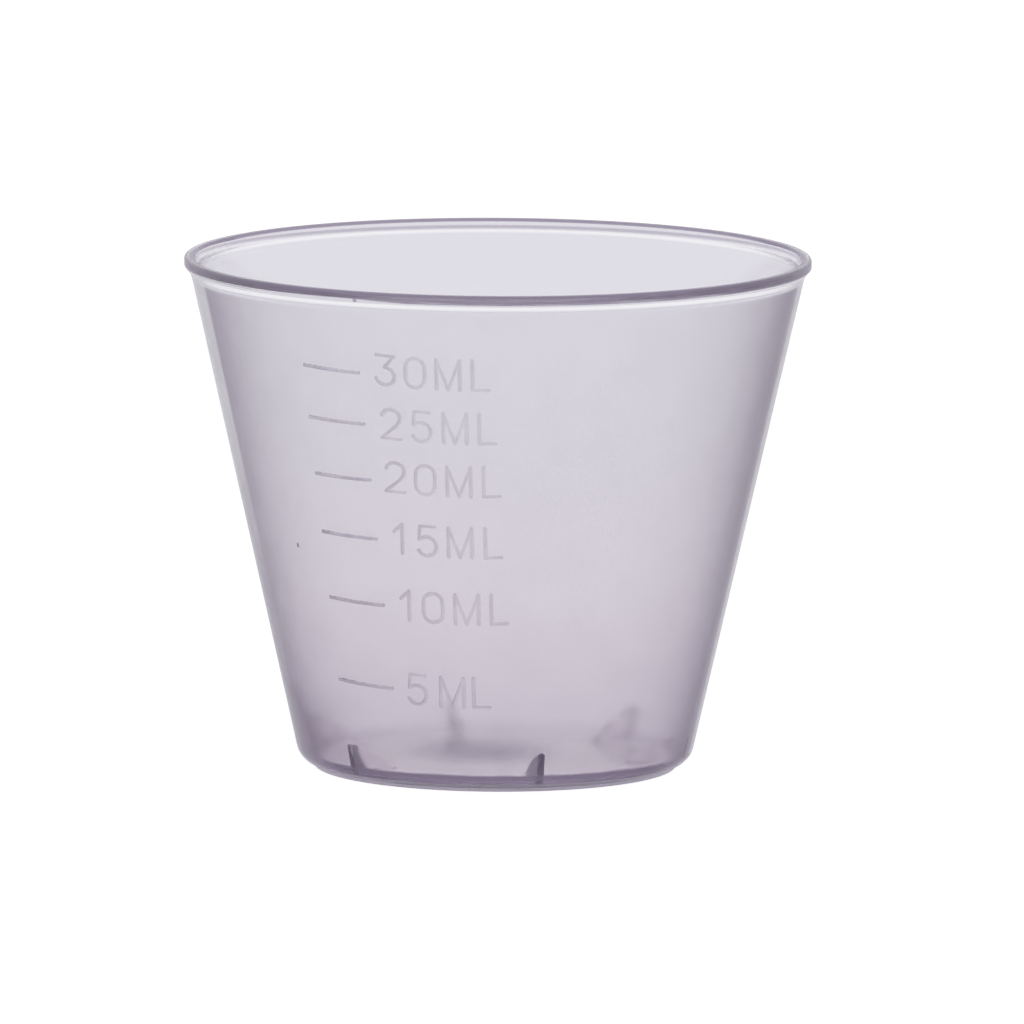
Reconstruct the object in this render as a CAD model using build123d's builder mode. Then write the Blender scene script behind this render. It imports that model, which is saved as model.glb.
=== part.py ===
from build123d import *
import os
from math import atan2, cos, degrees, pi, radians, sin, tan

# Graduated medicine cup, injection moulded in one piece of polypropylene. Millimetres.
# The origin is the middle of the foot's underside, +Z is up the cup's axis, and -Y is the front,
# from where the graduation lines stand left of the middle.

# Driving dimensions
height = 37.9
rim_diameter = 46.3
base_diameter = 28.7
rim_wall = 0.68
floor_wall = 0.52
floor_thickness = 0.55
corner_radius = 1.7
inner_corner_radius = 1.1

lip_height = 0.65
lip_overhang = 0.35
lip_flare = 0.55
lip_width = 0.6
edge_break = 0.09

foot_inset = 0.95
foot_width = 1.1
foot_height = 0.2
gate_diameter = 1.6
gate_height = 0.12

rib_count = 6
rib_thickness = 0.5
rib_height = 2.3
rib_reach = 4.0
rib_edge_radius = 0.15
first_rib_angle = 13.5

millilitre = 1000.0
mark_step = 5 * millilitre
rated_volume = 30 * millilitre
mark_length = 4.8
mark_width = 0.22
mark_top_width = 0.12
mark_relief = 0.12
mark_end_angle = -28.0

rim_radius = rim_diameter / 2
lip_level = height - lip_height
flare_level = lip_level - lip_flare
floor_level = foot_height + floor_thickness
foot_radius = base_diameter / 2 - foot_inset

# The wall is a cone outside and a slightly steeper cone inside, so that it thins towards the floor.
# Each is given by its radius at the level of the table and its change of radius with height.
outer_base_radius = base_diameter / 2
outer_slope = (rim_radius - lip_overhang - outer_base_radius) / lip_level
outer_lean = atan2(outer_slope, 1)
inner_base_radius = outer_base_radius - floor_wall / cos(outer_lean)
inner_slope = (rim_radius - lip_overhang - rim_wall / cos(outer_lean) - inner_base_radius) / lip_level
inner_lean = atan2(inner_slope, 1)


def outer_radius(level):
    """Radius of the wall's outside at a level above the table."""
    return outer_base_radius + outer_slope * level


def inner_radius(level):
    """Radius of the wall's inside at a level above the table."""
    return inner_base_radius + inner_slope * level


# A rib is a gusset, from the wall at its top down to its toe on the floor.
rib_top_level = floor_level + rib_height
rib_top_radius = inner_radius(rib_top_level)
rib_toe_radius = inner_radius(floor_level) - rib_reach
rib_slope = rib_height / (rib_top_radius - rib_toe_radius)

with BuildPart() as rib:
    with BuildSketch(Plane.XZ):
        with BuildLine():
            Polyline(
                (rib_toe_radius - floor_thickness / rib_slope, foot_height),
                (rib_top_radius + rim_wall, rib_top_level + rim_wall * rib_slope),
                (rib_top_radius + rim_wall, foot_height),
                close=True,
            )
        make_face()
    extrude(amount=rib_thickness / 2, both=True)
    ridge_edges = rib.edges().sort_by(SortBy.LENGTH)[-2:]
    fillet(ridge_edges, radius=min(rib_edge_radius, 0.45 * rib_thickness))

# The hollow of the cup, as the mould's core: a cone with a rounded foot, a flared mouth and six slots.
# The slots leave the ribs standing between the floor and the wall, with no gap at the round.
with BuildPart() as core:
    with BuildSketch(Plane.XZ):
        with BuildLine():
            hollow = FilletPolyline(
                (0, floor_level),
                (inner_radius(floor_level), floor_level),
                (inner_radius(lip_level), lip_level),
                (rim_radius - lip_width, height),
                (0, height),
                radius=[inner_corner_radius, 0, 0],
            )
            Line(hollow @ 1, hollow @ 0)
        make_face()
    revolve(axis=Axis.Z)
    with PolarLocations(0, rib_count, start_angle=first_rib_angle - 90):
        add(rib.part, mode=Mode.SUBTRACT)

# Liquid stands in a cone, less the round at its foot and the ribs, which are all below the first mark.
round_tangent = inner_corner_radius * tan((pi / 2 - inner_lean) / 2)
round_area = inner_corner_radius * round_tangent - inner_corner_radius**2 * (pi / 2 - inner_lean) / 2
round_volume = round_area * 2 * pi * (inner_radius(floor_level) - round_tangent / 3)
rib_volume = rib_thickness * rib_height * (rib_top_radius - rib_toe_radius) / 2


def liquid(level):
    """Volume of the liquid that fills the cup to a level above the table."""
    low = inner_radius(floor_level)
    high = inner_radius(level)
    cone = pi * (level - floor_level) / 3 * (low**2 + low * high + high**2)
    return cone - round_volume - rib_count * rib_volume


def level_of(volume):
    """Level above the table to which a volume of liquid fills the cup, by halving the interval."""
    low, high = floor_level, height
    while high - low > 1e-6:
        middle = (low + high) / 2
        if liquid(middle) < volume:
            low = middle
        else:
            high = middle
    return (low + high) / 2


# Every graduation up to the rated volume is moulded, where the liquid still stands below the lip's flare.
full_volume = min(rated_volume, liquid(flare_level - mark_width))
mark_count = int(full_volume / mark_step + 1e-9)
mark_levels = [level_of(mark_step * (mark + 1)) for mark in range(mark_count)]

with BuildPart() as cup:
    # The outside is turned in one section, from the floor's underside to the flare under the squared lip.
    with BuildSketch(Plane.XZ):
        with BuildLine():
            outside = FilletPolyline(
                (0, foot_height),
                (outer_radius(foot_height), foot_height),
                (outer_radius(flare_level), flare_level),
                (rim_radius, lip_level),
                (rim_radius, height),
                (0, height),
                radius=[corner_radius, 0, 0, 0],
            )
            Line(outside @ 1, outside @ 0)
        make_face()
    revolve(axis=Axis.Z)
    add(core.part, mode=Mode.SUBTRACT)
    rim_edges = cup.edges().filter_by(GeomType.CIRCLE).group_by(Axis.Z)[-1]
    under_lip_edge = cup.edges().filter_by(GeomType.CIRCLE).sort_by(SortBy.RADIUS)[-2:].sort_by(Axis.Z)[0]
    chamfer([*rim_edges, under_lip_edge], length=edge_break)

    # A low ring under the floor is all that touches the table. The gate's stub stands inside it.
    with BuildSketch(Plane.XY):
        Circle(foot_radius)
        Circle(foot_radius - foot_width, mode=Mode.SUBTRACT)
    extrude(amount=foot_height + floor_thickness / 2)
    ring_edges = cup.edges().filter_by(GeomType.CIRCLE).group_by(Axis.Z)[0]
    chamfer(ring_edges, length=min(edge_break, foot_height / 2))
    with BuildSketch(Plane.XY.offset(foot_height - gate_height)):
        Circle(gate_diameter / 2)
    extrude(amount=gate_height + floor_thickness / 2)

    # Each graduation is a raised line: an arc of a small tapered section that stands on the wall.
    for level in mark_levels:
        mark_radius = outer_radius(level)
        mark_turn = radians(mark_end_angle)
        mark_plane = Plane(
            origin=(mark_radius * sin(mark_turn), -mark_radius * cos(mark_turn), level),
            x_dir=(sin(mark_turn), -cos(mark_turn), 0),
            z_dir=(-cos(mark_turn), -sin(mark_turn), 0),
        )
        with BuildSketch(mark_plane):
            with BuildLine():
                Polyline(
                    (-floor_wall / 3, -mark_width / 2),
                    (0, -mark_width / 2),
                    (mark_relief, -mark_top_width / 2),
                    (mark_relief, mark_top_width / 2),
                    (0, mark_width / 2),
                    (-floor_wall / 3, mark_width / 2),
                    close=True,
                )
            make_face()
        revolve(axis=Axis.Z, revolution_arc=-degrees(mark_length / mark_radius))

cup.part.label = "cup"

os.makedirs("parts", exist_ok=True)
export_step(cup.part, "parts/cup.step")
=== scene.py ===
from functools import reduce
from math import atan, atan2, cos, hypot, pi, radians, sin, tan

import bmesh
import bpy
import numpy as np
from mathutils import Matrix, Vector


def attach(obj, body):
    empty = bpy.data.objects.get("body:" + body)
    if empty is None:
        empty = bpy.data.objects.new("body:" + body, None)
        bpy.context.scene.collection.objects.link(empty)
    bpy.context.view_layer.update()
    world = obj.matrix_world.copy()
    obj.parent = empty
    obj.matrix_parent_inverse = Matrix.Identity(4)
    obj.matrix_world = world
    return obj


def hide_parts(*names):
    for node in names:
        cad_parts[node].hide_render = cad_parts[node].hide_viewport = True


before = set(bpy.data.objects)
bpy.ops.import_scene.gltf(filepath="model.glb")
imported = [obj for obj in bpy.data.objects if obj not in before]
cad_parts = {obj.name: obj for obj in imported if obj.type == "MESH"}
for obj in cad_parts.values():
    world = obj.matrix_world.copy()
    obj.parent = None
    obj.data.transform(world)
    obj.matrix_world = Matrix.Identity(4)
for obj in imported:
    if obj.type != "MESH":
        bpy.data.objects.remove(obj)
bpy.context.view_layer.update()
scene = bpy.context.scene

# Camera: a long lens a metre and a half away, eight degrees above the table and a third of a degree
# off level, aimed at the middle of the cup a little to the right of its axis.
MM = 0.001
view_distance = 1500.0
view_elevation = radians(7.996)
view_roll = radians(0.335)
view_aim = Vector((1.144, 0.0, 18.870))
lens_pixels = 20293.0
picture_pixels = 1024.0

camera = bpy.data.cameras.new("camera")
camera.sensor_width = 36.0
camera.lens = lens_pixels / picture_pixels * camera.sensor_width
camera.clip_start, camera.clip_end = 0.1, 20.0
camera_object = bpy.data.objects.new("camera", camera)
scene.collection.objects.link(camera_object)
view_back = Vector((0.0, -cos(view_elevation), sin(view_elevation)))
camera_object.matrix_world = (
    Matrix.Translation((view_aim + view_distance * view_back) * MM)
    @ Matrix.Rotation(pi / 2 - view_elevation, 4, "X")
    @ Matrix.Rotation(view_roll, 4, "Z")
)
scene.camera = camera_object

# The cup's body is one thin moulding, turned about its axis: a low foot ring, a floor, a wall that
# widens and thickens upwards, and a flared lip with a squared, slightly rounded edge.
height, rim_radius, base_radius = 37.9, 23.15, 14.35
rim_wall, floor_wall, floor_thickness = 0.68, 0.52, 0.55
corner_radius, inner_corner_radius = 1.7, 1.1
lip_height, lip_overhang, lip_width, lip_flare = 0.65, 0.35, 0.6, 0.55
edge_round, top_round, flare_round, mouth_round = 0.1, 0.2, 1.4, 0.6
foot_radius, foot_width, foot_height = 13.4, 1.1, 0.2
gate_radius, gate_height, gate_round = 0.8, 0.12, 0.03
turned_faces, wall_rows, floor_rings = 320, 14, (9, 5, 2, 0)
tiny = 1e-6

lip_level = height - lip_height
flare_level = lip_level - lip_flare
floor_level = foot_height + floor_thickness
gate_level = foot_height - gate_height
outer_slope = (rim_radius - lip_overhang - base_radius) / lip_level
wall_lean = atan(outer_slope)
inner_base_radius = base_radius - floor_wall / cos(wall_lean)
inner_slope = (rim_radius - lip_overhang - rim_wall / cos(wall_lean) - inner_base_radius) / lip_level


def outer_radius(level):
    """Radius of the wall's outside at a level above the table."""
    return base_radius + outer_slope * level


def inner_radius(level):
    """Radius of the wall's inside at a level above the table."""
    return inner_base_radius + inner_slope * level


def turned_outline(corners, arc_step=radians(7)):
    """Radius, height and outward normal along a section whose corners are (radius, height, round)."""
    stations = []
    for k, (r, z, rounding) in enumerate(corners):
        here = np.array((r, z))
        before = here - np.array(corners[max(k - 1, 0)][:2])
        after = np.array(corners[min(k + 1, len(corners) - 1)][:2]) - here
        before = after if not before.any() else before
        after = before if not after.any() else after
        before, after = before / np.hypot(*before), after / np.hypot(*after)
        first, last = np.array((before[1], -before[0])), np.array((after[1], -after[0]))
        turn = atan2(before[0] * after[1] - before[1] * after[0], before @ after)
        if rounding == 0:
            stations += [(*here, *first)] + [(*here, *last)] * (abs(turn) > tiny)
            continue
        start = here - before * rounding * tan(abs(turn) / 2)
        side = 1 if turn > 0 else -1
        centre = start - side * rounding * first
        steps = max(3, round(abs(turn) / arc_step))
        for step in range(steps + 1):
            a = turn * step / steps
            n = np.array((first[0] * cos(a) - first[1] * sin(a), first[0] * sin(a) + first[1] * cos(a)))
            stations.append((*(centre + side * rounding * n), *n))
    return stations


def split(start, end, pieces):
    """Corners that divide a straight run of a section evenly, so that its faces stay compact."""
    (r0, z0), (r1, z1) = start, end
    return [(r0 + (r1 - r0) * k / pieces, z0 + (z1 - z0) * k / pieces, 0) for k in range(1, pieces)]


def finished(bm, name):
    """Puts a working mesh into the scene as an object."""
    mesh = bpy.data.meshes.new(name)
    bm.to_mesh(mesh)
    bm.free()
    made = bpy.data.objects.new(name, mesh)
    scene.collection.objects.link(made)
    return made


outside_foot = (outer_radius(foot_height), foot_height)
outside_top = (outer_radius(flare_level), flare_level)
inside_top = (inner_radius(lip_level), lip_level)
inside_foot = (inner_radius(floor_level), floor_level)
ring_inside = foot_radius - foot_width
section = turned_outline(
    [(0, gate_level, 0), (gate_radius, gate_level, gate_round), (gate_radius, foot_height, 0)]
    + [(r, foot_height, 0) for r in floor_rings[1::-1]]
    + [(ring_inside, foot_height, 0), (ring_inside, 0, edge_round)]
    + [(foot_radius, 0, edge_round), (foot_radius, foot_height, 0)]
    + [(*outside_foot, corner_radius), *split(outside_foot, outside_top, wall_rows), (*outside_top, flare_round)]
    + [(rim_radius, lip_level, edge_round), (rim_radius, height, top_round)]
    + [(rim_radius - lip_width, height, top_round), (*inside_top, mouth_round)]
    + [*split(inside_top, inside_foot, wall_rows), (*inside_foot, inner_corner_radius)]
    + [(r, floor_level, 0) for r in floor_rings]
)

bm = bmesh.new()
rings, spots = [], []
for r, z, _, _ in section:
    if spots and hypot(r - spots[-1][0], z - spots[-1][1]) < tiny:
        continue
    spots.append((r, z))
    turns = [2 * pi * k / turned_faces for k in range(turned_faces)] if r > tiny else [0.0]
    rings.append([bm.verts.new((r * sin(a) * MM, -r * cos(a) * MM, z * MM)) for a in turns])
for low, high in zip(rings, rings[1:]):
    for k in range(turned_faces):
        corners = [low[k % len(low)], low[(k + 1) % len(low)], high[(k + 1) % len(high)], high[k % len(high)]]
        bm.faces.new(list(dict.fromkeys(corners)))
cup = finished(bm, "cup_body")

# Six gussets stand inside the foot, from the wall down to the floor. They keep stacked cups apart,
# and the mould forms them with the rest, so each grows out of the wall and the floor.
rib_count, first_rib_turn = 6, radians(13.5)
rib_thickness, rib_height, rib_reach, rib_round, rib_sink = 0.5, 2.3, 4.0, 0.2, 0.2
ridge_bow, ridge_steps, round_turns = 0.6, 12, (22, 45, 68)
foot_shares, halvings = (-0.2, 0.6), 40
root_gap, root_reach = 0.02, 1.0

rib_top = (inner_radius(floor_level + rib_height), floor_level + rib_height)
rib_toe = (inner_radius(floor_level) - rib_reach, floor_level)
rib_length = rib_top[0] - rib_toe[0]
sunk_level = floor_level - rib_sink


def ridge_point(share, drop):
    """Radius and level of the bowed ridge at a share of its length, lowered square to it by a drop."""
    slope = rib_height / rib_length * (1 + ridge_bow * (1 - 2 * share))
    level = rib_toe[1] + rib_height * share * (1 + ridge_bow * (1 - share))
    return rib_toe[0] + rib_length * share, level - drop * hypot(1, slope)


def ridge_share(level, drop):
    """Share of the ridge's length at which its lowered line reaches a level, by halving the interval."""
    low, high = foot_shares
    for _ in range(halvings):
        middle = (low + high) / 2
        low, high = (middle, high) if ridge_point(middle, drop)[1] < level else (low, middle)
    return middle


# The root is sunk into the wall and the floor, so that the rib and the body grow together.
head_share = 1 + rib_sink / rib_length
foot_of_root = ridge_point(ridge_share(sunk_level, 0.0), 0.0)
head_of_root = ridge_point(head_share, 0.0)
root_line = [(r + nr * -rib_sink, z + nz * -rib_sink) for r, z, nr, nz in section[::-1] if rib_toe[0] < r]
root_line = [
    (r, z) for r, z in root_line
    if foot_of_root[0] < r < rib_top[0] + root_reach
    and sunk_level - tiny < z < min(rib_top[1] + rib_sink, head_of_root[1] - root_gap)
]
roots = sorted(root_line, key=sum)

flank = rib_thickness / 2 - rib_round
slices = [-rib_thickness / 2] + [-flank - rib_round * cos(radians(a)) for a in round_turns] + [-flank, 0]
slices = slices + [-y for y in slices[-2::-1]]
bm = bmesh.new()
sheets = []
for y in slices:
    over = max(abs(y) - flank, 0.0)
    drop = rib_round - (max(rib_round**2 - over**2, 0.0)) ** 0.5
    first = ridge_share(foot_of_root[1], drop)
    shares = [first + (head_share - first) * step / ridge_steps for step in range(ridge_steps + 1)]
    ridge = [ridge_point(share, drop) for share in shares]
    sheets.append([bm.verts.new((y * MM, -r * MM, z * MM)) for r, z in (ridge[0], *roots, *ridge[:0:-1])])
for near, far in zip(sheets, sheets[1:]):
    for k in range(len(near)):
        m = (k + 1) % len(near)
        bm.faces.new((near[k], near[m], far[m], far[k]))
bm.faces.new(sheets[0][::-1])
bm.faces.new(sheets[-1])
bmesh.ops.recalc_face_normals(bm, faces=bm.faces)
rib = finished(bm, "rib")


def new_tree(name, **inputs):
    """A Geometry Nodes tree with a geometry in and out and the named inputs, and its first and last node."""
    tree = bpy.data.node_groups.new(name, "GeometryNodeTree")
    tree.interface.new_socket("Geometry", in_out="INPUT", socket_type="NodeSocketGeometry")
    for label, kind in inputs.items():
        tree.interface.new_socket(label.replace("_", " "), in_out="INPUT", socket_type="NodeSocket" + kind)
    tree.interface.new_socket("Geometry", in_out="OUTPUT", socket_type="NodeSocketGeometry")
    return tree, tree.nodes.new("NodeGroupInput"), tree.nodes.new("NodeGroupOutput")


def node(tree, kind, **settings):
    """Adds a node. Settings that are sockets of other nodes become links, and the rest are set."""
    made = tree.nodes.new(kind)
    for key, value in settings.items():
        target = made.inputs.get(key.replace("_", " ")) if not hasattr(made, key) else None
        if target is None:
            setattr(made, key, value)
        elif isinstance(value, bpy.types.NodeSocket):
            tree.links.new(value, target)
        else:
            target.default_value = value
    return made


def maths(tree, operation, *values):
    """The result of a Math node over numbers and sockets."""
    made = tree.nodes.new("ShaderNodeMath")
    made.operation = operation
    for target, value in zip(made.inputs, values):
        if isinstance(value, bpy.types.NodeSocket):
            tree.links.new(value, target)
        else:
            target.default_value = value
    return made.outputs[0]


def grow(tree, given, result, added):
    """Ends a tree: the moulding grows together with what is added, and takes the material."""
    grown = node(tree, "GeometryNodeMeshBoolean", operation="UNION", solver="MANIFOLD")
    tree.links.new(given.outputs["Geometry"], grown.inputs["Mesh 2"])
    tree.links.new(added, grown.inputs["Mesh 2"])
    whole = node(tree, "GeometryNodeRealizeInstances", Geometry=grown.outputs[0])
    dressed = node(
        tree, "GeometryNodeSetMaterial", Geometry=whole.outputs[0], Material=given.outputs["Material"]
    )
    tree.links.new(dressed.outputs[0], result.inputs[0])


def apply_tree(target, tree, **values):
    """Runs a tree on an object with its inputs set by identifier, and keeps the result as a plain mesh."""
    modifier = target.modifiers.new(tree.name, "NODES")
    modifier.node_group = tree
    for item in tree.interface.items_tree:
        if item.in_out == "INPUT" and item.name.replace(" ", "_") in values:
            modifier[item.identifier] = values[item.name.replace(" ", "_")]
    bpy.context.view_layer.update()
    evaluated = target.evaluated_get(bpy.context.evaluated_depsgraph_get())
    plain = bpy.data.meshes.new_from_object(evaluated)
    target.modifiers.remove(modifier)
    target.data = plain


ribs_tree, given, result = new_tree("set_ribs", Rib="Object", Count="Int", First_turn="Float", Material="Material")
seats = node(ribs_tree, "GeometryNodePoints", Count=given.outputs["Count"])
seat = node(ribs_tree, "GeometryNodeInputIndex").outputs[0]
step_turn = maths(ribs_tree, "DIVIDE", 2 * pi, given.outputs["Count"])
spin = node(
    ribs_tree, "ShaderNodeCombineXYZ",
    Z=maths(ribs_tree, "MULTIPLY_ADD", seat, step_turn, given.outputs["First turn"]),
)
placed = node(
    ribs_tree, "GeometryNodeInstanceOnPoints",
    Points=seats.outputs[0],
    Instance=node(ribs_tree, "GeometryNodeObjectInfo", Object=given.outputs["Rib"]).outputs["Geometry"],
    Rotation=spin.outputs[0],
)
real_ribs = node(ribs_tree, "GeometryNodeRealizeInstances", Geometry=placed.outputs[0])
grow(ribs_tree, given, result, real_ribs.outputs[0])

plastic = bpy.data.materials.new("polypropylene")
apply_tree(cup, ribs_tree, Rib=rib, Count=rib_count, First_turn=first_rib_turn, Material=plastic)
bpy.data.objects.remove(rib)

# Six graduation lines and their figures stand up from the outside. The mould has them cut into it as
# single strokes, from artwork drawn flat and wrapped on the cone, so rows bend a little like a label.
row_levels = {30: 31.83, 25: 27.93, 20: 23.67, 15: 19.22, 10: 14.20, 5: 7.90}
line_tilt = {30: 2.6, 25: 1.9, 20: 1.4, 15: 2.0, 10: 2.4, 5: 3.0}
line_length, line_end_turn, line_steps = 4.78, radians(-28.0), 10
artwork_turn = radians(-7.0)
row_lift = {30: 0.07, 25: -0.08, 20: 0.15, 15: -0.05, 10: -0.1, 5: -0.18}
figure_height = 2.27
figure_places = {
    30: {"3": -8.39, "0": -6.06, "M": -3.59, "L": -1.21},
    25: {"2": -7.90, "5": -5.55, "M": -3.06, "L": -0.69},
    20: {"2": -7.56, "0": -5.25, "M": -2.74, "L": -0.35},
    15: {"1": -7.33, "5": -5.09, "M": -2.64, "L": -0.21},
    10: {"1": -6.79, "0": -4.63, "M": -2.12, "L": 0.25},
    5: {"5": -5.83, "M": -3.17, "L": -1.01},
}
figure_width = {"0": 1.45, "1": 0.62, "2": 1.48, "3": 1.50, "5": 1.38, "M": 1.70, "L": 1.14}
nib_rings = ((0.165, -0.2), (0.15, 0.0), (0.12, 0.04), (0.08, 0.066), (0.035, 0.08))
nib_sides = 10


def bow(centre, reach, start, end, steps):
    """Points of an oval arc, in shares of a figure's width and height, between two angles in degrees."""
    turns = [radians(start + (end - start) * k / steps) for k in range(steps + 1)]
    return [(centre[0] + reach[0] * cos(a), centre[1] + reach[1] * sin(a)) for a in turns]


top_of_0 = bow((0.5, 0.68), (0.5, 0.32), 0, 180, 8)
foot_of_0 = bow((0.5, 0.32), (0.5, 0.32), 180, 360, 8)
figures = {
    "0": [*top_of_0, *foot_of_0, (1.0, 0.68)],
    "1": [(0.0, 0.72), (0.45, 0.84), (1.0, 1.0), (1.0, 0.0)],
    "2": [*bow((0.5, 0.72), (0.48, 0.28), 168, -20, 9), (0.80, 0.46), (0.0, 0.0), (1.0, 0.0)],
    "3": [(0.07, 1.0), (0.97, 1.0), (0.50, 0.60), *bow((0.5, 0.30), (0.5, 0.30), 76, -160, 12)],
    "5": [(0.93, 1.0), (0.13, 1.0), (0.06, 0.55), *bow((0.48, 0.325), (0.52, 0.325), 118, -152, 12)],
    "M": [(0.0, 0.0), (0.0, 1.0), (0.5, 0.0), (1.0, 1.0), (1.0, 0.0)],
    "L": [(0.0, 1.0), (0.0, 0.0), (1.0, 0.0)],
}

# The artwork's plane is the cone unrolled about the artwork's middle line. A point there has its
# distance from the cone's tip and its angle off the middle line.
tip_distance = base_radius / sin(wall_lean)


def unrolled(turn, level):
    """Place on the unrolled cone of a point of the outside, from its turn from the front and its level."""
    from_tip = tip_distance + level / cos(wall_lean)
    off = (turn - artwork_turn) * sin(wall_lean)
    return from_tip * sin(off), from_tip * cos(off)


def draw(points):
    """Draws one stroke of the artwork as a chain of edges."""
    corners = [bm.verts.new((x * MM, y * MM, 0)) for x, y in points]
    for start, end in zip(corners, corners[1:]):
        bm.edges.new((start, end))


bm = bmesh.new()
for volume, level in row_levels.items():
    rise = line_length / 2 * sin(radians(line_tilt[volume]))
    left_turn = line_end_turn - line_length / outer_radius(level)
    (x0, y0), (x1, y1) = unrolled(left_turn, level + rise), unrolled(line_end_turn, level - rise)
    draw([(x0 + (x1 - x0) * k / line_steps, y0 + (y1 - y0) * k / line_steps) for k in range(line_steps + 1)])
    for figure, place in figure_places[volume].items():
        width = figure_width[figure]
        x, _ = unrolled(place / outer_radius(level), level)
        y = tip_distance + (level + row_lift[volume]) / cos(wall_lean)
        draw([(x + (u - 0.5) * width, y + (v - 0.5) * figure_height) for u, v in figures[figure]])
strokes = finished(bm, "strokes")

bm = bmesh.new()
for radius, relief in nib_rings:
    for k in range(nib_sides):
        a = k * pi / (nib_sides / 2)
        bm.verts.new((radius * cos(a) * MM, radius * sin(a) * MM, relief * MM))
bmesh.ops.convex_hull(bm, input=bm.verts)
nib = finished(bm, "nib")

marks_tree, given, result = new_tree(
    "raise_strokes",
    Strokes="Object", Nib="Object", Lean="Float", Tip_distance="Float", Middle_turn="Float", Material="Material",
)
lines = node(marks_tree, "GeometryNodeObjectInfo", Object=given.outputs["Strokes"])
each = marks_tree.nodes.new("GeometryNodeForeachGeometryElementInput")
swept = marks_tree.nodes.new("GeometryNodeForeachGeometryElementOutput")
each.pair_with_output(swept)
swept.domain = "EDGE"
marks_tree.links.new(lines.outputs["Geometry"], each.inputs["Geometry"])
ends = node(
    marks_tree, "GeometryNodeInstanceOnPoints",
    Points=each.outputs["Element"],
    Instance=node(marks_tree, "GeometryNodeObjectInfo", Object=given.outputs["Nib"]).outputs["Geometry"],
)
pressed = node(marks_tree, "GeometryNodeRealizeInstances", Geometry=ends.outputs[0])
hull = node(marks_tree, "GeometryNodeConvexHull", Geometry=pressed.outputs[0])
apart = marks_tree.nodes.new("GeometryNodeGeometryToInstance")
marks_tree.links.new(hull.outputs[0], apart.inputs[0])
marks_tree.links.new(apart.outputs[0], swept.inputs["Geometry"])
joined = node(marks_tree, "GeometryNodeMeshBoolean", operation="UNION", solver="MANIFOLD")
marks_tree.links.new(swept.outputs[2], joined.inputs["Mesh 2"])


def wrap(operation, *values):
    """A Math node of the tree that wraps the artwork on the cone."""
    return maths(marks_tree, operation, *values)


flat = node(marks_tree, "ShaderNodeSeparateXYZ", Vector=node(marks_tree, "GeometryNodeInputPosition").outputs[0])
flat_x, flat_y, relief = flat.outputs
lean_sin, lean_cos = wrap("SINE", given.outputs["Lean"]), wrap("COSINE", given.outputs["Lean"])
from_tip = wrap("SQRT", wrap("ADD", wrap("MULTIPLY", flat_x, flat_x), wrap("MULTIPLY", flat_y, flat_y)))
off = wrap("ARCTAN2", flat_x, flat_y)
turn = wrap("ADD", wrap("DIVIDE", off, lean_sin), given.outputs["Middle turn"])
radius = wrap("ADD", wrap("MULTIPLY", from_tip, lean_sin), wrap("MULTIPLY", relief, lean_cos))
up_wall = wrap("MULTIPLY", wrap("SUBTRACT", from_tip, given.outputs["Tip distance"]), lean_cos)
wrapped = node(
    marks_tree, "ShaderNodeCombineXYZ",
    X=wrap("MULTIPLY", radius, wrap("SINE", turn)),
    Y=wrap("MULTIPLY", wrap("MULTIPLY", radius, wrap("COSINE", turn)), -1.0),
    Z=wrap("SUBTRACT", up_wall, wrap("MULTIPLY", relief, lean_sin)),
)
on_cone = node(marks_tree, "GeometryNodeSetPosition", Geometry=joined.outputs[0], Position=wrapped.outputs[0])
grow(marks_tree, given, result, on_cone.outputs[0])
apply_tree(
    cup, marks_tree,
    Strokes=strokes, Nib=nib, Lean=wall_lean, Tip_distance=tip_distance * MM, Middle_turn=artwork_turn,
    Material=plastic,
)
bpy.data.objects.remove(strokes)
bpy.data.objects.remove(nib)

# The steel that shaped the turned faces was polished round, so they shade as true cones, planes and
# rounds, up to a crisp edge at each stroke and rib.
crisp_angle, same_way = radians(75), cos(radians(20))
skin_depth = 0.02

mesh = cup.data
mesh.shade_smooth()
mesh.set_sharp_from_angle(angle=crisp_angle)
points = np.empty(len(mesh.vertices) * 3)
mesh.vertices.foreach_get("co", points)
points = points.reshape(-1, 3) / MM
face_middle, face_normal = (np.empty(len(mesh.polygons) * 3) for _ in range(2))
mesh.polygons.foreach_get("center", face_middle)
mesh.polygons.foreach_get("normal", face_normal)
face_middle, face_normal = face_middle.reshape(-1, 3) / MM, face_normal.reshape(-1, 3)
corner_point, face_corners = np.empty(len(mesh.loops), int), np.empty(len(mesh.polygons), int)
mesh.loops.foreach_get("vertex_index", corner_point)
mesh.polygons.foreach_get("loop_total", face_corners)
normals = np.empty(len(mesh.loops) * 3)
mesh.corner_normals.foreach_get("vector", normals)
normals = normals.reshape(-1, 3)

stations = np.array(section)
run_start, run_end = stations[:-1], stations[1:]
real_run = np.hypot(*(run_end - run_start)[:, :2].T) > tiny
run_start, run_end = run_start[real_run], run_end[real_run]
run = run_end[:, :2] - run_start[:, :2]
run_square = (run**2).sum(1)


def on_runs(radius, level, which):
    """Share along a run of the section, and distance from it, for points given by radius and level."""
    gap = np.stack([radius, level], -1) - run_start[which, :2]
    share = np.clip((gap * run[which]).sum(-1) / run_square[which], 0, 1)
    return share, np.hypot(*(gap - share[..., None] * run[which]).T)


def turned_normal(position, share, which):
    """Outward normal of the turned surface at a point, from its share along a run of the section."""
    across = run_start[which, 2:] * (1 - share)[:, None] + run_end[which, 2:] * share[:, None]
    across /= np.hypot(*across.T)[:, None]
    radius = np.hypot(position[:, 0], position[:, 1])
    away = position[:, :2] / np.maximum(radius, 1e-9)[:, None]
    return np.concatenate([away * across[:, :1], across[:, 1:]], 1)


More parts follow.
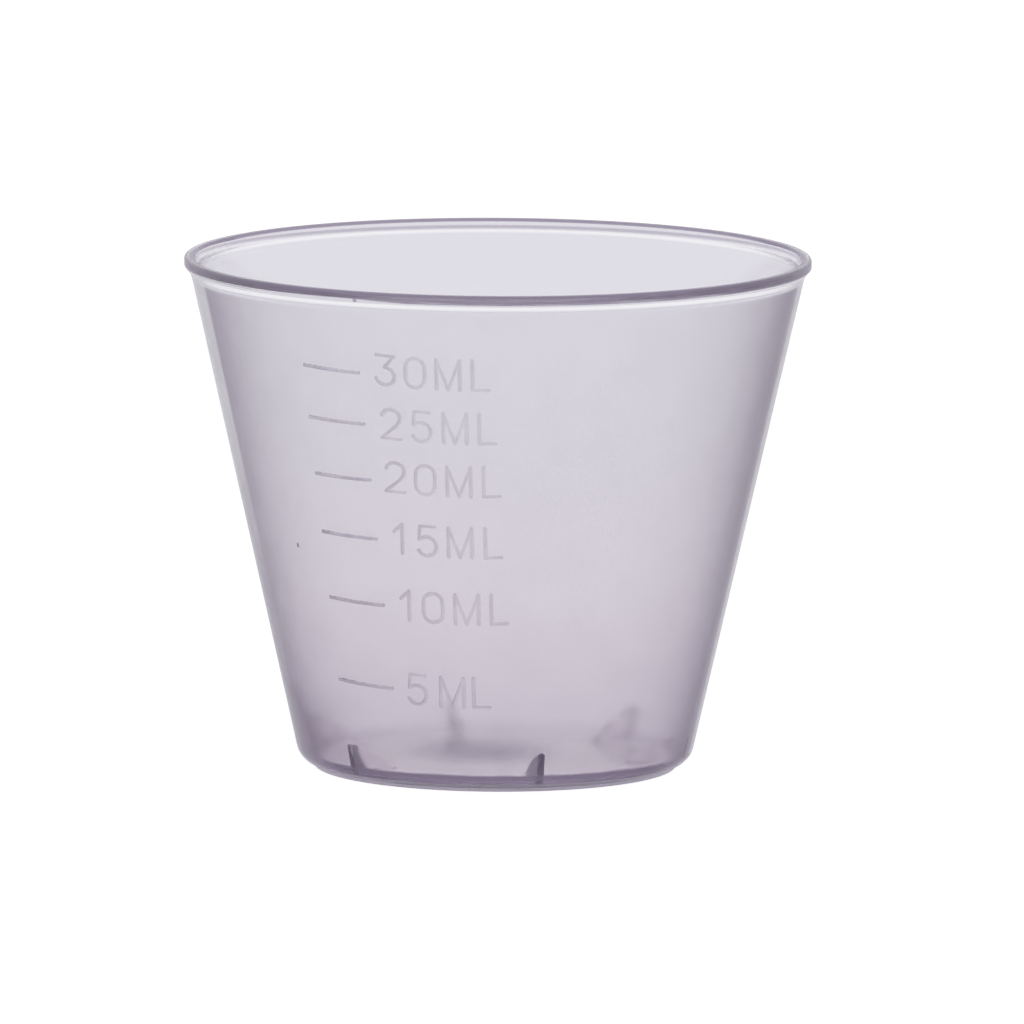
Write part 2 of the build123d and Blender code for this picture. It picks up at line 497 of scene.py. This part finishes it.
middle_radius = np.hypot(face_middle[:, 0], face_middle[:, 1])
least, nearest = np.full(len(middle_radius), np.inf), np.zeros(len(middle_radius), int)
for which in range(len(run)):
    _, distance = on_runs(middle_radius, face_middle[:, 2], np.full(len(middle_radius), which))
    closer = distance < least
    least[closer], nearest[closer] = distance[closer], which
share, _ = on_runs(middle_radius, face_middle[:, 2], nearest)
true_normal = turned_normal(face_middle, share, nearest)
turned_face = (least < skin_depth) & ((true_normal * face_normal).sum(1) > same_way)
corner_run = np.repeat(nearest, face_corners)
turned_corner = np.repeat(turned_face, face_corners)
place = points[corner_point]
share, _ = on_runs(np.hypot(place[:, 0], place[:, 1]), place[:, 2], corner_run)
normals[turned_corner] = turned_normal(place, share, corner_run)[turned_corner]
mesh.normals_split_custom_set(normals)

# The plastic is natural polypropylene: clear, with a faint milky haze and a purple-grey depth that shows
# where sight runs far through it, at the outline. The same haze and depth also carry painted shade at the
# squared lip, the foot, the ribs and the lower wall.
plastic_ior = 1.49
depth_and_shade_colour, haze_and_shade_colour = (0.09, 0.058, 0.12, 1), (0.57, 0.49, 0.67, 1)
low_tint, high_tint, floor_tint = (0.945, 0.918, 0.94), (0.96, 0.957, 0.963), (0.98, 0.945, 0.98)
all_over_haze, most_depth = 0.035, 0.95

plastic.use_nodes = True
tree = plastic.node_tree
nodes, links = tree.nodes, tree.links
clear = nodes["Principled BSDF"]
clear.name = "clear"
clear.inputs["IOR"].default_value = plastic_ior
clear.inputs["Transmission Weight"].default_value = 1.0
# The deep and haze shaders carry the plastic's own depth and haze, and also the painted shade set below.
deep = node(
    tree, "ShaderNodeBsdfPrincipled", name="deep",
    Base_Color=depth_and_shade_colour, Roughness=0.15, IOR=plastic_ior, Transmission_Weight=0.9,
)
haze = node(
    tree, "ShaderNodeBsdfPrincipled", name="haze",
    Base_Color=haze_and_shade_colour, Roughness=0.3, IOR=plastic_ior, Specular_IOR_Level=0.1,
)


def chained(operation):
    """A function that joins numbers and sockets of the plastic by one Math operation after another."""
    return lambda *values: reduce(lambda one, other: maths(tree, operation, one, other), values)


times, plus, most = chained("MULTIPLY"), chained("ADD"), chained("MAXIMUM")


def ramp(value, start, end, low, high, name):
    """Carries a value smoothly from one range to another, and holds it at the ends."""
    made = node(
        tree, "ShaderNodeMapRange", interpolation_type="SMOOTHSTEP", name=name,
        Value=value, From_Min=start, From_Max=end, To_Min=low, To_Max=high,
    )
    return made.outputs["Result"]


# Where a point of the plastic is, in millimetres: from the axis, outside the outer cone, inside the inner.
here = node(tree, "ShaderNodeTexCoord").outputs["Object"]
in_mm = node(tree, "ShaderNodeVectorMath", operation="SCALE", Vector=here, Scale=1 / MM).outputs[0]
at_x, at_y, at_z = node(tree, "ShaderNodeSeparateXYZ", Vector=in_mm).outputs
from_axis = maths(tree, "SQRT", plus(times(at_x, at_x), times(at_y, at_y)))
proud = maths(tree, "SUBTRACT", from_axis, maths(tree, "MULTIPLY_ADD", at_z, outer_slope, base_radius))
inset = maths(tree, "SUBTRACT", maths(tree, "MULTIPLY_ADD", at_z, inner_slope, inner_base_radius), from_axis)
off_side = maths(tree, "ABSOLUTE", at_x)
inward = node(tree, "ShaderNodeNewGeometry").outputs["Backfacing"]
outward = maths(tree, "SUBTRACT", 1.0, inward)
wall_only = ramp(at_z, flare_level - 0.5, flare_level - 0.15, 1.0, 0.0, "wall only")


def cloud(stretch, low, high, name):
    """A soft noise over the plastic, stretched by three numbers, between two values."""
    spread_out = node(tree, "ShaderNodeVectorMath", operation="MULTIPLY", Vector=in_mm)
    spread_out.inputs[1].default_value = stretch
    grain = node(tree, "ShaderNodeTexNoise", Vector=spread_out.outputs[0], Scale=1.0, Detail=2.0, name=name)
    return ramp(grain.outputs[0], 0.3, 0.7, low, high, name + " range")


def spot(centre, stretch, inner, outer, value, name):
    """A soft patch about a point of the cup, in millimetres, stretched by three numbers."""
    away = node(tree, "ShaderNodeVectorMath", operation="MULTIPLY_ADD", Vector=in_mm)
    away.inputs[1].default_value = stretch
    away.inputs[2].default_value = [-c * s for c, s in zip(centre, stretch)]
    reach = node(tree, "ShaderNodeVectorMath", operation="LENGTH", Vector=away.outputs[0])
    return ramp(reach.outputs["Value"], inner, outer, value, 0.0, name)


# The raised strokes are thicker plastic, and unevenly worn.
stroke_tone = times(
    ramp(proud, 0.015, 0.07, 0.0, 1.0, "stroke top"),
    ramp(at_x, -12.0, -2.0, 0.38, 0.2, "stroke tone"),
    cloud((0.45, 0.45, 0.6), 0.65, 1.15, "stroke wear"),
    ramp(at_z, 9.5, 12.5, 0.92, 1.3, "low rows"),
    ramp(at_z, 20.0, 27.0, 1.0, 0.8, "high rows"),
    wall_only,
)

# The squared lip carries painted shade on its face, along both edges of its top and just under it inside, with
# streaks round it and more towards its ends.
lip_start = ramp(at_x, -12.0, -6.0, lip_level + 0.11, lip_level - 0.06, "lip start")
lip_face = times(
    ramp(at_z, lip_start, plus(lip_start, 0.07), 0.0, 0.95, "lip face"),
    ramp(from_axis, rim_radius - 0.17, rim_radius - 0.05, 0.0, 1.0, "lip reach"),
    cloud((0.3, 0.3, 6.0), 0.62, 1.0, "lip streaks"),
)
off_middle = maths(tree, "ABSOLUTE", maths(tree, "SUBTRACT", from_axis, rim_radius - lip_width / 2))
lip_line_start = ramp(off_side, 13.0, 21.0, 0.16, 0.24, "lip line start")
lip_middle_tone = ramp(off_side, 13.0, 21.0, 0.45, 0.12, "lip middle tone")
lip_top = times(
    ramp(at_z, height - 0.24, height - 0.16, 0.0, 0.85, "lip top"),
    ramp(off_middle, 0.04, lip_line_start, lip_middle_tone, 1.0, "lip middle"),
)
lip_end_shade = times(lip_face, outward, ramp(off_side, 9.0, 20.0, 0.0, 0.28, "lip ends"))
under_lip = times(
    ramp(at_z, lip_level - 0.3, lip_level - 0.17, 0.0, 0.45, "under lip"),
    ramp(at_z, lip_level - 0.11, lip_level - 0.01, 1.0, 0.0, "under lip top"),
    ramp(proud, 0.0, 0.1, 0.0, 1.0, "flare"),
    inward,
)
# All of the lip's band is painted shade.
lip_painted_shade = most(times(most(lip_face, lip_top), outward), under_lip)

# The foot carries a band of painted shade, with a wavering top, where the shadowed table shows through its rounded
# edge, and its ring is scuffed by use.
round_radius, round_level = 12.9, 1.87
round_x = maths(tree, "SUBTRACT", from_axis, round_radius)
round_z = maths(tree, "SUBTRACT", at_z, round_level)
round_off = maths(tree, "SQRT", plus(times(round_x, round_x), times(round_z, round_z)))
foot_skin = times(
    ramp(round_off, 1.35, 1.5, 0.0, 1.0, "foot skin"),
    ramp(from_axis, 12.1, 12.5, 0.0, 1.0, "foot reach"),
    outward,
)
# Painted shade: the foot's band, in haze and in depth.
foot_shade_depth = times(ramp(at_z, 1.25, 1.55, 0.07, 0.0, "foot tone"), foot_skin)
foot_wave = plus(at_z, cloud((0.4, 0.4, 0.0), -0.07, 0.07, "foot wave"))
foot_painted_shade = times(
    ramp(foot_wave, 1.15, 1.5, 0.76, 0.0, "foot band"),
    most(ramp(at_z, 0.7, 1.25, 0.42, 1.0, "foot fade"), ramp(at_z, 0.22, 0.4, 0.7, 0.0, "foot edge")),
    foot_skin,
)
scuff = times(
    ramp(at_z, 0.6, 0.8, 0.65, 0.0, "scuffed foot"),
    ramp(from_axis, 12.0, 12.4, 0.0, 1.0, "scuffed ring"),
)

# Painted shade on the ribs: darkest at their roots, where they run into the wall, and deepest on the ribs at the
# front and the right.
rib_skin = times(
    ramp(inset, 0.02, 0.06, 0.0, 1.0, "rib skin"),
    ramp(at_z, floor_level + 0.03, floor_level + 0.08, 0.0, 1.0, "rib foot"),
)
right_turn = first_rib_turn + 2 * pi / rib_count
beside_right = maths(tree, "MULTIPLY_ADD", at_y, sin(right_turn), times(at_x, cos(right_turn)))
right_rib = times(
    ramp(at_x, 10.0, 10.8, 0.0, 0.6, "right rib"),
    ramp(maths(tree, "ABSOLUTE", beside_right), 0.28, 0.36, 1.0, 0.0, "right rib side"),
)
from_root = plus(maths(tree, "MULTIPLY_ADD", at_z, 0.4, inset), right_rib)
rib_root = times(
    most(ramp(from_root, 1.1, 1.7, 1.0, 0.0, "rib root"), ramp(at_y, -9.9, -9.6, 1.0, 0.0, "front rib")),
    rib_skin,
)
near_rib = most(ramp(at_y, -10.0, -5.0, 1.0, 0.0, "near rib"), right_rib)
rib_shade_depth = times(ramp(near_rib, 0.0, 1.0, 0.03, 0.25, "rib tone"), rib_root)
rib_painted_shade = times(ramp(near_rib, 0.0, 1.0, 0.08, 0.95, "rib band"), rib_root)

# Sight that meets the wall at a slant runs farther through it, up to the clear strip at the outline,
# where it leaves again. Painted light and shade make the sides differ: on the left the strip is wider,
# bright near the top and dark low down, and the wall beside it is darker at the foot.
loss_power, loss_change, most_lost = 6.0, -1.36, 1.08
gloss = node(tree, "ShaderNodeFresnel", IOR=plastic_ior).outputs[0]
straight_on = maths(tree, "POWER", maths(tree, "SUBTRACT", 1.0, gloss), loss_power)
lost = maths(tree, "MULTIPLY_ADD", straight_on, loss_change, most_lost)
side = ramp(at_x, -8.0, 8.0, 0.0, 1.0, "side")


def by_side(left, right, name):
    """A value that goes from one number or socket on the left of the cup to another on its right."""
    made = node(tree, "ShaderNodeMix", data_type="FLOAT", name=name)
    links.new(side, made.inputs[0])
    for target, value in ((made.inputs[2], left), (made.inputs[3], right)):
        if isinstance(value, bpy.types.NodeSocket):
            links.new(value, target)
        else:
            target.default_value = value
    return made.outputs[0]


# Painted light and shade on the left outline and the wall beside it.
left_outline_light = ramp(at_z, 12.0, 30.0, 0.85, 0.12, "left edge")
edge_start, edge_end = by_side(0.24, 0.36, "edge start"), by_side(0.28, 0.42, "edge end")
edge = ramp(gloss, edge_start, edge_end, 1.0, by_side(left_outline_light, 0.22, "edge tone"), "edge")
left_light_and_shade = plus(ramp(at_z, 2.5, 8.0, 1.5, 0.88, "left gain"), ramp(at_z, 23.0, 33.0, 0.0, 0.1, "left top gain"))
inner_skin = times(
    ramp(inset, -0.1, 0.05, 0.25, 0.0, "inner skin"),
    ramp(at_z, 1.5, 2.5, 0.0, 1.0, "inner foot"),
)
skin = times(most(ramp(proud, -0.4, -0.3, 0.0, 1.0, "skin"), inner_skin), wall_only, outward)
slant = most(times(lost, edge, by_side(left_light_and_shade, 1.05, "gain"), skin), 0.0)
# Painted shade: the wall is darker towards the foot.
low_painted_shade = times(ramp(at_z, 2.5, 16.0, 0.155, 0.0, "low tone"), skin)

# Marks: a speck and two scratches in the wall, streaks and a dark patch on the floor, denser at a slant,
# a drip of flash under the lip, and a mottle over the whole.
floor_streaks = times(
    cloud((0.12, 0.9, 0.3), -0.05, 0.1, "floor flow"),
    ramp(at_z, floor_level + 0.01, floor_level + 0.15, 1.0, 0.0, "floor top"),
    ramp(at_z, floor_level - 0.15, floor_level - 0.05, 0.0, 1.0, "floor side"),
    outward,
)
marks = (
    spot((-14.54, -11.29, 17.92), (1.0, 1.0, 0.7), 0.08, 0.16, 0.95, "speck"),
    spot((-19.46, -10.42, 34.06), (3.0, 3.0, 0.5), 0.05, 0.25, 0.14, "high scratch"),
    spot((2.84, -15.44, 5.96), (3.0, 3.0, 0.5), 0.05, 0.25, 0.14, "low scratch"),
    floor_streaks,
)
drip = spot((-10.42, -20.67, 37.25), (1.0, 1.0, 0.8), 0.1, 0.2, 0.7, "drip")
# A dark patch on the cup's floor, denser at a slant.
floor_patch = times(
    spot((-1.1, 2.2, 0.75), (0.8, 0.74, 6.0), 0.5, 6.2, 0.85, "gate blush"),
    ramp(gloss, 0.05, 0.35, 0.35, 1.0, "blush slant"),
    outward,
)
mottle = times(cloud((0.3, 0.3, 0.3), -0.012, 0.012, "mottle"), skin)


def mixed(tree, factor, first, second, name):
    """A colour that goes by a factor from one colour or socket to another."""
    made = node(tree, "ShaderNodeMix", data_type="RGBA", name=name)
    tree.links.new(factor, made.inputs[0])
    for target, value in ((made.inputs[6], first), (made.inputs[7], second)):
        if isinstance(value, bpy.types.NodeSocket):
            tree.links.new(value, target)
        else:
            target.default_value = (*value, 1)
    return made.outputs[2]


def between(factor, first, second, name):
    """A shader of the plastic that goes by a factor from one to another."""
    made = node(tree, "ShaderNodeMixShader", name=name, Fac=factor)
    links.new(first.outputs[0], made.inputs[1])
    links.new(second.outputs[0], made.inputs[2])
    return made


wall_tint = mixed(tree, ramp(at_z, 2.0, 34.0, 0.0, 1.0, "rise"), low_tint, high_tint, "wall tint")
clear_tint = mixed(tree, ramp(at_z, 0.9, 2.2, 0.0, 1.0, "off the floor"), floor_tint, wall_tint, "clear tint")
links.new(clear_tint, clear.inputs["Base Color"])
links.new(most(cloud((0.5, 0.5, 0.5), 0.1, 0.14, "gloss"), scuff), clear.inputs["Roughness"])
# The bands of painted shade join the haze, and the painted light and shade of the sides, the lower wall, the lip's
# ends, the foot and the ribs join the depth.
bands = most(lip_painted_shade, rib_painted_shade, foot_painted_shade, drip, floor_patch)
depth_and_shade = plus(slant, low_painted_shade, most(stroke_tone, lip_end_shade, foot_shade_depth, rib_shade_depth), *marks, mottle)
depth_and_shade = maths(tree, "MINIMUM", most(depth_and_shade, 0.0), most_depth)
cloudy = between(plus(bands, all_over_haze), clear, haze, "cloudy")
links.new(between(depth_and_shade, cloudy, deep, "plastic").outputs[0], nodes["Material Output"].inputs["Surface"])

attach(cup, "root")
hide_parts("cup")

# Floor: a plain white sheet, far larger than the view, that keeps the soft shadow under the cup. Gloss
# and clear plastic see it as pale paper.
floor_radius, floor_sides = 3.0, 96
paper_colour, paper_seen = (0.28, 0.28, 0.28, 1), (0.67, 0.655, 0.71)
paper_to_camera, paper_bounce = 0.92, 0.25

bm = bmesh.new()
bmesh.ops.create_circle(bm, cap_ends=True, segments=floor_sides, radius=floor_radius)
floor = finished(bm, "floor")
paper = bpy.data.materials.new("floor")
floor.data.materials.append(paper)
paper.use_nodes = True
leaf = paper.node_tree
sheet = leaf.nodes["Principled BSDF"]
sheet.inputs["Base Color"].default_value = paper_colour
sheet.inputs["Roughness"].default_value = 0.9
sheet.inputs["Specular IOR Level"].default_value = 0.0
path = leaf.nodes.new("ShaderNodeLightPath")
seen = maths(leaf, "MAXIMUM", path.outputs["Is Glossy Ray"], path.outputs["Is Transmission Ray"])
straight = maths(leaf, "MULTIPLY", path.outputs["Is Camera Ray"], paper_to_camera)
bounce = maths(leaf, "MULTIPLY", path.outputs["Is Diffuse Ray"], paper_bounce)
glow = node(
    leaf, "ShaderNodeEmission", name="glow",
    Color=mixed(leaf, seen, (1, 1, 1), paper_seen, "glow tint"),
    Strength=maths(leaf, "MAXIMUM", maths(leaf, "MAXIMUM", seen, bounce), straight),
)
both = leaf.nodes.new("ShaderNodeAddShader")
leaf.links.new(glow.outputs[0], both.inputs[0])
leaf.links.new(sheet.outputs[0], both.inputs[1])
leaf.links.new(both.outputs[0], leaf.nodes["Material Output"].inputs["Surface"])

# Studio: plain soft light from all round. The camera sees white, and gloss and clear plastic see pale
# walls, brightest just above the horizon and a little darker down at the table and up at the ceiling.
plain_light = 0.5
low_wall, bright_wall, ceiling = (0.8, 0.79, 0.85), (0.98, 0.98, 1.0), (0.82, 0.8, 0.87)

world = bpy.data.worlds.new("studio")
scene.world = world
world.cycles.sampling_method = "NONE"
world.use_nodes = True
sky = world.node_tree
way = node(sky, "ShaderNodeSeparateXYZ", Vector=node(sky, "ShaderNodeTexCoord").outputs["Generated"])


def up_the_wall(start, end, name):
    """How far a ray looks up the studio's wall, from 0 at one height to 1 at another."""
    made = node(
        sky, "ShaderNodeMapRange", interpolation_type="SMOOTHSTEP", name=name,
        Value=way.outputs["Z"], From_Min=start, From_Max=end,
    )
    return made.outputs["Result"]


wall_seen = mixed(sky, up_the_wall(0.02, 0.14, "horizon"), low_wall, bright_wall, "wall seen")
all_seen = mixed(sky, up_the_wall(0.2, 0.5, "ceiling"), wall_seen, ceiling, "ceiling seen")
path = sky.nodes.new("ShaderNodeLightPath")
glassy = maths(sky, "MAXIMUM", path.outputs["Is Glossy Ray"], path.outputs["Is Transmission Ray"])
shown = maths(sky, "MAXIMUM", path.outputs["Is Camera Ray"], glassy)
lit = maths(sky, "MULTIPLY", maths(sky, "SUBTRACT", 1.0, shown), plain_light)
back = sky.nodes["Background"]
sky.links.new(mixed(sky, glassy, (1, 1, 1), all_seen, "seen tint"), back.inputs["Color"])
sky.links.new(maths(sky, "MAXIMUM", shown, lit), back.inputs["Strength"])
scene.view_settings.view_transform = "Standard"
